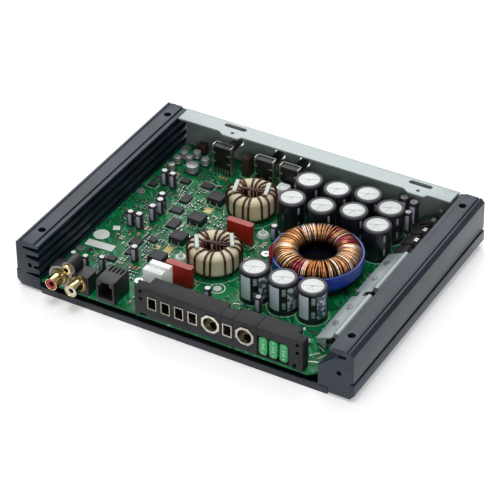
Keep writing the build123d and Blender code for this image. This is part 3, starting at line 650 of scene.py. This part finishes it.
# %% Printed sleeve
def printed(name, back, panel, strips, dash_count, gloss):
    """A shrink sleeve with strips as (start, kind): 0 bare, 1 panel, 2 dashes, 3 blotted field."""
    made, tree, shader = material(name, {"Roughness": gloss, "Coat Weight": 0.3, "Coat Roughness": 0.12})
    spot = add(tree, "SeparateXYZ", {0: add(tree, "UVMap", uv_map="sleeve")[0]})
    kinds = add(tree, "ValToRGB", {0: spot[0]})[0]
    ramp = kinds.node.color_ramp
    ramp.interpolation = "CONSTANT"
    for i, (where, kind) in enumerate(strips):
        stop = ramp.elements.new(where) if i else ramp.elements[0]
        stop.position = where
        stop.color = (float(kind == 1), float(kind == 2), float(kind == 3), 1)
    ramp.elements[-1].color = (0, 0, 0, 1)
    parts = add(tree, "SeparateColor", {0: kinds})
    tall = add(tree, "Math", {0: spot[1], 1: 0.52, 2: 0.37}, operation="COMPARE")[0]
    dash = None
    for count in (dash_count, 2.3):
        cut = add(tree, "Math", {0: spot[1], 1: count}, operation="MULTIPLY")[0]
        part = add(tree, "Math", {0: cut}, operation="FRACT")[0]
        upper = add(tree, "Math", {0: part, 1: 0.5}, operation="GREATER_THAN")[0]
        dash = add(tree, "Math", {0: dash, 1: upper}, operation="MULTIPLY")[0] if dash else upper
    place = add(tree, "TexCoord")["Object"]
    noise = add(tree, "TexNoise", {"Vector": place, "Scale": 1000 / 0.9, "Detail": 1.0})[0]
    coarse = add(tree, "TexNoise", {"Vector": place, "Scale": 1000 / 2.6, "Detail": 0.5})[0]
    blot = add(tree, "Math", {0: coarse, 1: 0.52}, operation="GREATER_THAN")[0]
    dashes = add(tree, "Math", {0: parts[1], 1: dash}, operation="MULTIPLY")[0]
    blocks = add(tree, "Math", {0: parts[2], 1: blot}, operation="MULTIPLY")[0]
    some = add(tree, "Math", {0: dashes, 1: blocks}, operation="ADD")[0]
    layer = add(tree, "Mix", {0: noise, 6: colour(back[0]), 7: colour(back[1])}, data_type="RGBA")[2]
    for where, tone in ((parts[2], "566577"), (parts[0], panel), (some, "ccd5dd")):
        inked = add(tree, "Math", {0: where, 1: tall}, operation="MULTIPLY")[0]
        layer = add(tree, "Mix", {0: inked, 6: layer, 7: colour(tone)}, data_type="RGBA")[2]
    relief = add(tree, "Bump", {"Height": noise, "Strength": 0.3, "Distance": 0.03 * mm})[0]
    fill(shader, {"Base Color": layer, "Normal": relief})
    return made


strips = [(0.0, 1), (0.125, 0), (0.155, 2), (0.195, 0), (0.213, 3), (0.335, 0), (0.725, 2), (0.75, 0)]
shrink = printed("black_shrink_sleeve", ("0f1014", "1b1c22"), "d9e5f4", strips, 22, 0.3)
# Pressed can top: clean rolled aluminium, pale and evenly matt.
bare_top = grained("pressed_aluminium_top", "c9cccb", "dfe1e0", 1.0, (0.4, 0.55), 0.01, {"Metallic": 0.15})
# Scored lines in the top: the same metal, darker where light cannot get in.
scored = grained("scored_aluminium", "9da1a1", "b4b8b8", 0.4, (0.4, 0.55), 0.01, {"Metallic": 0.3})
# Sleeve over the rim: a lighter grey than the sleeve, painted sheen where the rim faces up.
rim_sheen_grey = grained("sleeve_rim_painted_sheen", "2a2a2f", "434349", 0.6, (0.35, 0.5), 0.01)
sleeve = piece(joined(sleeves), "capacitor_sleeves_printed", shrink, ["capacitor_sleeves"])
piece(joined(tops), "capacitor_tops", bare_top, ["capacitor_cans"])
piece(vents, "capacitor_vent_lines", scored)
sleeve.data.materials.append(rim_sheen_grey)
sleeve_top, rim_depth = 31.7, 0.95
rim = sleeve_top - rim_depth
# Faces above the rim take the lighter grey: painted sheen.
for face in sleeve.data.polygons:
    if face.center.z / mm > rim:
        face.material_index = 1
print("sleeve faces", len(sleeve.data.polygons))

# %% [markdown]
# ## Small capacitors
# The same shapes at a tenth of the volume: 5 mm sleeved cans, and bare surface-mount cans
# on square plinths. The small sleeves are brown-black with a lilac stripe.

# %% Small capacitors
small, small_tops = [], []
for low, high in solids("small_capacitors"):
    x, y, wide, _ = plan(low, high)
    r, h = wide / 2, high.z - low.z
    profile = [(0, 0), (r - 0.2, 0), (r, 0.3), (r, 1.3), (r - 0.2, 1.7), (r, 2.1), (r, h - 0.7),
               (r - 0.3, h - 0.15), (r - 0.6, h), (0.72 * r, h - 0.02), (0.72 * r, h - 0.4), (0, h - 0.4)]
    small.append(unroll(spun(profile, x, y, low.z, 24), x, y, low.z, high.z, -150))
    small_tops.append(spun([(0, -0.15), (0.74 * r, -0.15), (0.7 * r, 0.0), (0.6 * r, -0.05), (0, -0.08)],
                           x, y, high.z, 20))
strips = [(0.0, 0), (0.10, 1), (0.26, 0), (0.4, 2), (0.44, 0)]
lilac = printed("brown_shrink_sleeve", ("2b2128", "3d2f38"), "b9b4cf", strips, 9, 0.3)
piece(joined(small), "small_capacitors_printed", lilac, ["small_capacitors"])
piece(joined(small_tops), "small_capacitor_tops", bare_top)
cans = []
for low, high in solids("surface_capacitor_cans"):
    x, y, wide, _ = plan(low, high)
    r, h = wide / 2, high.z - low.z
    cans.append(spun([(0, 0), (r - 0.15, 0), (r, 0.2), (r, 0.5), (r - 0.25, 0.8), (r, 1.1), (r, h - 0.4),
                      (r - 0.12, h - 0.12), (r - 0.4, h), (0, h)], x, y, low.z, 28))
piece(joined(cans), "surface_capacitors_pressed", aluminium, ["surface_capacitor_cans"])
soften("surface_capacitor_bases", black_pbt, 0.15)
print("small", len(small), "surface mount", len(cans))

# %% [markdown]
# ## Dipped and moulded parts
# Film capacitors are dipped in glossy red epoxy, which pulls round every edge. The white
# headers, box capacitors, chips and controls are mouldings with small radii.

# %% Film capacitors, headers, chips and controls
# Red epoxy dip: thick and glossy, rounded by its own surface tension.
red_dip = grained("red_epoxy_dip", "8e1a10", "b52c1a", 1.4, (0.12, 0.22), 0.03, {"Specular IOR Level": 0.4})
# Phenolic dip: brown, waxy, half the shine.
brown_dip = grained("brown_phenolic_dip", "2c1a12", "46301f", 0.8, (0.3, 0.45), 0.03)
soften("film_capacitors", red_dip, 0.7, 3)
soften("board_headers", white_nylon, 0.3)
soften("box_capacitors", brown_dip, 0.4, 3)
soften("output_chips", epoxy_black, 0.3)
soften("power_transistors", epoxy_black, 0.3)
soften("signal_chips", epoxy_black, 0.1, 1)
soften("potentiometer_bodies", black_pbt, 0.3)
# Turned acetal shafts: black with fine rings that soften the highlight.
shaft_black = grained("turned_acetal", "1a1a1c", "2c2c2f", 0.4, (0.3, 0.42), 0.01)
for number in (1, 2, 3):
    dress(shaft_black, "potentiometer_shaft_%d" % number)

# %% [markdown]
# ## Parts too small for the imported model
# Hundreds of chip resistors and capacitors, chip legs, solder joints and printed outlines
# fill the board. They are laid in short rows on a half-millimetre grid, from a seeded draw
# that skips every spot already taken by a larger part.

# %% Where the board is free
# These four are kept clear for the plain marks printed further down.
taken = [(-97, -85, -36, -24), (-97, -75, -44, -35), (-90, -83.5, -23, -16), (-6, 5, -48, -37)]
for name in frame["nodes"]:
    if name in ("main_board", "left_rail", "right_rail", "bottom_plate", "rear_panel", "board_spacers"):
        continue
    for low, high in solids(name):
        if low.z < board_top + 8 and high.z > board_top + 0.1:
            taken.append((low.x, high.x, low.y, high.y))


def free(x, y, dx, dy, gap=0.7):
    """True if a block of that size at x, y meets nothing."""
    return all(x + dx / 2 + gap < a or x - dx / 2 - gap > b or y + dy / 2 + gap < c or y - dy / 2 - gap > d
               for a, b, c, d in taken)


print("places taken:", len(taken))

# %% [markdown]
# A chip part is a ceramic block with a tinned cap on each end. With three hundred of them,
# each is three plain boxes with no bevel.

# %% Chip resistors and capacitors
draw = random.Random(7)
sizes = [(2.0, 1.25, 0.55), (1.6, 0.8, 0.5), (3.2, 1.6, 0.6), (1.6, 0.8, 0.5), (2.0, 1.25, 0.9)]
# Each zone: x from and to, y from and to, rows tried.
zones = [(-96, -50, -58, 80, 270), (-60, -40, -80, 60, 26), (-40, 4, -80, -40, 26), (-40, 78, 64, 81, 24),
         (-40, 6, -8, 22, 22), (66, 79, -60, 60, 26), (14, 76, -74, -50, 30), (-96, -62, -72, -50, 14)]
dark, tan, caps, pads = (bmesh.new() for _ in range(4))
count = 0
for x0, x1, y0, y1, rows in zones:
    for _ in range(rows):
        size = draw.choice(sizes)
        along = draw.random() < 0.5
        x, y = round(draw.uniform(x0, x1) * 2) / 2, round(draw.uniform(y0, y1) * 2) / 2
        body = draw.choice([dark, dark, tan])
        for step in range(draw.randint(1, 4)):
            dx, dy = (size[0], size[1]) if along else (size[1], size[0])
            px, py = (x, y + step * (dy + 0.9)) if along else (x + step * (dx + 0.9), y)
            if not (x0 < px < x1 and y0 < py < y1 and free(px, py, dx, dy)):
                continue
            taken.append((px - dx / 2, px + dx / 2, py - dy / 2, py + dy / 2))
            turn = 0 if along else 90
            bar(body, px, py, board_top + size[2] / 2, size[0] - 0.5, size[1] - 0.06, size[2], 0, turn)
            for end in (-1, 1):
                shift = end * (size[0] / 2 - 0.15)
                cx, cy = (px + shift, py) if along else (px, py + shift)
                bar(caps, cx, cy, board_top + size[2] / 2, 0.45, size[1], size[2] + 0.04, 0, turn)
                out = end * (size[0] / 2 + 0.12)
                cx, cy = (px + out, py) if along else (px, py + out)
                bar(pads, cx, cy, board_top + 0.06, 0.4, size[1] + 0.1, 0.12, 0, turn)
            count += 1
# Fired ceramic: sandy and matt.
chip_tan = grained("sintered_ceramic", "8d6f4a", "b59468", 0.4, (0.4, 0.55), 0.01)
# Reflowed solder: bright, with soft round glints.
solder = grained("bright_solder", "8e9494", "c4caca", 0.5, (0.2, 0.4), 0.03, {"Metallic": 0.9})
piece(dark, "chip_resistors", epoxy_black)
piece(tan, "chip_capacitors", chip_tan)
piece(caps, "chip_end_caps", solder)
piece(pads, "solder_fillets", solder)
print("chip parts:", count)

# %% [markdown]
# Chip packages stand on rows of gull-wing legs. The legs are short tinned bars on both
# long sides, at 1.27 mm pitch.

# %% Chip legs and end caps of the larger chip parts
legs = bmesh.new()
pitch = 1.27
for low, high in solids("signal_chips"):
    x, y, dx, dy = plan(low, high)
    if high.z - low.z < 1:
        for end in (-1, 1):
            bar(legs, x + end * dx / 2, y, board_top + 0.36, 0.35, dy + 0.02, 0.74, 0)
        continue
    long_x = dx >= dy
    pins = int((max(dx, dy) - 0.6) / pitch) + 1
    for i in range(pins):
        shift = (i - (pins - 1) / 2) * pitch
        for side in (-1, 1):
            if long_x:
                bar(legs, x + shift, y + side * (dy / 2 + 0.45), board_top + 0.2, 0.4, 0.9, 0.3, 0)
            else:
                bar(legs, x + side * (dx / 2 + 0.45), y + shift, board_top + 0.2, 0.9, 0.4, 0.3, 0)
piece(legs, "chip_legs", tin)
print("chip legs made")

# %% [markdown]
# ## Printing on the board
# White epoxy ink marks outlines: arcs round the chokes, boxes round parts, a plain round
# mark and a plain label. Ink is a thin raised film, so each line is a bar or ring a few
# hundredths of a millimetre thick.

# %% Silkscreen and bare copper
# Epoxy ink: chalky greenish white, no shine.
ink = grained("white_marking_ink", "c6cec6", "e2e6e0", 0.4, (0.45, 0.6), 0.01)
# Tinned copper pads: the copper still tints the thin tin.
olive = grained("tinned_copper_pad", "8f8a4a", "b3ab6a", 0.8, (0.3, 0.45), 0.01, {"Metallic": 0.4})
silk, bare = bmesh.new(), bmesh.new()
film = 0.06


def flat_ring(work, x, y, inner, outer, steps=48):
    """A thin printed ring on the board."""
    part = spun([(inner, 0), (inner, 0.05), (outer, 0.05), (outer, 0), (inner, 0)], x, y, board_top, steps)
    mesh = bpy.data.meshes.new("ring")
    part.to_mesh(mesh)
    part.free()
    work.from_mesh(mesh)
    bpy.data.meshes.remove(mesh)


def flat_bar(work, x, y, dx, dy, turn=0):
    """A thin printed bar on the board."""
    bar(work, x, y, board_top + 0.03, dx, dy, film, 0, turn)


for low, high in solids("choke_cores") + solids("capacitor_sleeves"):
    x, y, wide, _ = plan(low, high)
    radius = wide / 2 + (2.6 if wide > 20 else 0.8)
    flat_ring(silk, x, y, radius, radius + 0.22, 64)
flat_ring(silk, -91.3, -29.8, 0.01, 5.1)
flat_ring(silk, -0.8, -42.6, 4.3, 5.0)
flat_ring(silk, -0.8, -42.6, 0.01, 2.6)
flat_bar(silk, -85.9, -39.6, 19.0, 6.2, 4)
flat_bar(silk, -86.8, -19.6, 4.4, 4.4, -62)
flat_bar(silk, 75.0, 62.0, 0.5, 42.0)
for name in ("output_chips", "film_capacitors", "signal_chips", "box_capacitors", "board_headers"):
    for low, high in solids(name):
        if high.z - low.z < 1:
            continue
        x, y, dx, dy = plan(low, high)
        dx, dy = dx + 2.4, dy + 2.4
        for side in (-1, 1):
            flat_bar(silk, x + side * dx / 2, y, 0.2, dy)
            flat_bar(silk, x, y + side * dy / 2, dx, 0.2)
bmesh.ops.create_cone(silk, cap_ends=True, segments=3, radius1=2.0 * mm, radius2=2.0 * mm, depth=film * mm,
                      matrix=Matrix.Translation(Vector((63.0, -51.5, board_top + 0.03)) * mm))
for _ in range(300):
    x, y = draw.uniform(-96, 80), draw.uniform(-80, 80)
    width = draw.choice([0.9, 1.4, 2.0])
    if free(x, y, width, 0.8, 0.2):
        taken.append((x - width / 2, x + width / 2, y - 0.4, y + 0.4))
        bar(silk, x, y, board_top + 0.02, width, 0.3, 0.04, 0, draw.choice([0, 0, 90]))
for spot in ((-46.7, -23.0, 5.0, 8.0), (-46.4, 24.4, 5.0, 6.0),
             (-54.6, -24.8, 4.6, 4.2), (-46.8, -48.0, 5.0, 4.0)):
    flat_bar(bare, *spot)
for low, high in solids("power_transistor_leads"):
    if high.x - low.x < 2.2:
        flat_ring(bare, low.x + 0.35, (low.y + high.y) / 2, 0.3, 1.0, 12)
piece(silk, "board_printing", ink)
piece(bare, "bare_pads", olive)
print("printing done")

# %% [markdown]
# ## Bent sheet and wire details
# Thin tinned sheet holds the controls: each has a frame whose small claws fold over the
# front of the body. The rear transistors have spring clips with a bright folded head, and
# a nickel-plated earth plate joins the phono shells to the screw boss.

# %% Claws, clips and the earth plate
sheet = bmesh.new()
for low, high in solids("potentiometer_bodies"):
    x = (low.x + high.x) / 2
    for side in (-1, 1):
        for z in (19.2, 25.4):
            bar(sheet, x + side * 5.3, low.y - 0.25, z, 2.2, 0.4, 1.0, 0.08)
        bar(sheet, x + side * 6.4, low.y + 2.4, 30.2, 0.5, 4.6, 1.4, 0.08)
    bar(sheet, x, high.y - 3.5, 30.65, 12.6, 0.35, 0.5, 0.05)
for y in (43.0, 55.0, 67.0, 78.0):
    bar(sheet, 90.0, y, 18.6, 0.5, 3.2, 6.6, 0.08)
    bar(sheet, 88.9, y - 0.9, 22.3, 2.6, 1.4, 0.9, 0.2)
    bar(sheet, 88.9, y + 0.9, 22.3, 2.6, 1.4, 0.9, 0.2)
piece(sheet, "sheet_clips", tin)
earth = [spun([(5.7, 0), (5.7, 0.35), (7.3, 0.35), (7.3, 0), (5.7, 0)], -84.2, -86.65, 17.0, axis="Y"),
         spun([(3.2, 0), (3.2, 0.35), (4.3, 0.35), (4.3, 0), (3.2, 0)], -77.3, -86.65, 25.6, axis="Y")]
link = bmesh.new()
bar(link, -77.3, -86.85, 20.0, 4.6, 0.3, 3.6, 0.05)
# Barrel nickel plate on sheet: grey and dull beside the gold.
dull_nickel = grained("dull_nickel_plate", "6d6f6c", "9a9c98", 0.6, (0.35, 0.5), 0.01, {"Metallic": 0.7})
piece(joined(earth + [link]), "earth_plate", dull_nickel)
print("claws, clips and earth plate made")

# %% [markdown]
# The outer ends of the transformer's winding come down the side of the cup as a small
# crimson bundle, and bent tinned wire links cross the board. All of these are round wire:
# short cylinders, each leaning a little.

# %% Wire ends and links
def rod(work, start, end, radius, sides=10):
    """A round rod between two points in mm."""
    a, b = Vector(start) * mm, Vector(end) * mm
    lie = Matrix.Translation((a + b) / 2) @ (b - a).to_track_quat("Z", "Y").to_matrix().to_4x4()
    bmesh.ops.create_cone(work, cap_ends=True, segments=sides, radius1=radius * mm, radius2=radius * mm,
                          depth=(b - a).length, matrix=lie)


# Crimson varnish: thick and glassy, so each wire has a sharp line of light.
crimson = grained("crimson_enamelled_wire", "8a1420", "c02836", 0.6, (0.15, 0.3), 0.01, {"Coat Weight": 0.5})
bundle = bmesh.new()
for i in range(6):
    angle = radians(199 + 4.2 * i)
    out = Vector((cos(angle), sin(angle), 0))
    foot = Vector((centre.x, centre.y, board_top)) + out * 29.4
    knee = Vector((centre.x, centre.y, 25.9)) + out * 28.9
    bend = Vector((centre.x, centre.y, 28.3)) + out * 26.6
    rod(bundle, foot, knee, 0.5)
    rod(bundle, knee, bend, 0.5)
piece(bundle, "transformer_wire_ends", crimson, crease=60)

links, top = bmesh.new(), board_top + 1.6
for x, y, dx, dy in ((79.0, -73.5, 3.5, 4.5), (84.5, -66.5, -5.0, 3.0), (84.0, -74.0, 3.0, 5.5),
                     (81.0, -78.5, 5.0, 2.0), (72.8, -6.0, 3.5, 4.0), (-30.0, 20.0, 4.0, 5.0),
                     (-3.0, -2.0, 2.0, 4.0), (72.6, 12.0, 3.0, -3.0), (-56.0, 48.0, 5.0, 1.0),
                     (16.0, -52.5, 4.0, 1.5)):
    rod(links, (x, y, board_top), (x, y, top), 0.32, 8)
    rod(links, (x, y, top), (x + dx, y + dy, top), 0.32, 8)
    rod(links, (x + dx, y + dy, board_top), (x + dx, y + dy, top), 0.32, 8)
piece(links, "wire_links", tin, crease=60)

# %% [markdown]
# A soft black strip seals the back ends of the rail's slots against the back panel, and
# rubber plugs close the holes that let a tool reach the terminals' set screws.

# %% Sealing strip and plugs
plugs = []
for low, high in solids("terminal_set_screws"):
    x, y, _, _ = plan(low, high)
    plugs.append(spun([(0, 0.1), (2.8, 0.1), (3.15, 0.4), (3.15, 1.5), (0, 1.5)], x, y, 0, 28))
seal = bmesh.new()
low, high = (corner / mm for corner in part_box("left_rail"))
bar(seal, -103.4, high.y - 1.0, 20.6, 10.0, 1.4, 23.0, 0.2)
# Foamed rubber: the darkest and roughest skin here, open cells swallow the light.
foam = grained("black_foam_rubber", "0a0a0b", "1a1a1c", 0.6, (0.7, 0.9), 0.05)
piece(seal, "rail_end_seal", foam)
piece(joined(plugs), "plate_plugs", foam)
print("strip behind", round(high.y, 1), "mm")

# %% [markdown]
# ## Stage, light and camera
# A plain pale floor and a large soft sky keep the shadows gentle, with one broad lamp from
# behind on the left that draws the highlights along the rails and over the capacitor tops.
# The camera stands 30 degrees round to the right of the front and 36 degrees up.

# %% Floor and light
# Matt white paper: no highlight, a trace of its own light to keep the shadows open.
paper, tree, shader = material("matt_white_floor", {"Roughness": 0.9})
place = add(tree, "TexCoord")["Object"]
soft = add(tree, "TexNoise", {"Vector": place, "Scale": 4.0})[0]
tint = add(tree, "Mix", {0: soft, 6: colour("f4f4f4"), 7: colour("fafafa")}, data_type="RGBA")[2]
fill(shader, {"Base Color": tint, "Emission Color": (1, 1, 1, 1), "Emission Strength": 0.3})
floor_work = bmesh.new()
bmesh.ops.create_grid(floor_work, x_segments=1, y_segments=1, size=4.0)
floor_mesh = bpy.data.meshes.new("floor")
floor_work.to_mesh(floor_mesh)
floor_work.free()
floor_mesh.materials.append(paper)
floor = bpy.data.objects.new("floor", floor_mesh)
bpy.context.scene.collection.objects.link(floor)

world = bpy.data.worlds.new("studio")
bpy.context.scene.world = world
world.use_nodes = True
fill(world.node_tree.nodes["Background"], {0: (0.95, 0.97, 1.0, 1), 1: 0.32})
bpy.context.scene.view_settings.view_transform = "Standard"


def lamp(name, place, aim, size, power):
    """A square soft lamp aimed at a point, in metres and watts."""
    data = bpy.data.lights.new(name, "AREA")
    data.size = size
    data.energy = power
    made = bpy.data.objects.new(name, data)
    made.location = place
    made.rotation_euler = (Vector(aim) - Vector(place)).to_track_quat("-Z", "Y").to_euler()
    bpy.context.scene.collection.objects.link(made)


lamp("sky", (-0.62, 1.05, 1.15), (0, 0, 0), 1.3, 13)
lamp("top", (0.1, -0.2, 1.3), (0, 0, 0), 0.6, 7)
lamp("front", (0.9, -1.2, 0.8), (0, 0, 0), 0.4, 3.5)
print("lamps", len(bpy.data.lights))

# %% Camera
azimuth, elevation, roll = radians(30.017), radians(36.412), radians(-0.57)
back = Vector((sin(azimuth) * cos(elevation), -cos(azimuth) * cos(elevation), sin(elevation)))
right = Vector((0, 0, 1)).cross(back).normalized()
up = back.cross(right)
right, up = right * cos(roll) + up * sin(roll), up * cos(roll) - right * sin(roll)
aim_height, distance, aside, below = 35, 1393.35, 2.1, 19.53
spot = Vector((0, 0, aim_height)) + back * distance - right * aside - up * below
view = bpy.data.cameras.new("camera")
view.sensor_width = 36
focal_length, frame_width = 2304.17, 500
view.lens = focal_length / frame_width * 36
view.clip_start, view.clip_end = 0.05, 20
camera = bpy.data.objects.new("camera", view)
camera.matrix_world = Matrix((
    (right.x, up.x, back.x, spot.x * mm), (right.y, up.y, back.y, spot.y * mm),
    (right.z, up.z, back.z, spot.z * mm), (0, 0, 0, 1)))
bpy.context.scene.collection.objects.link(camera)
bpy.context.scene.camera = camera
print("lens", round(view.lens, 1), "mm")
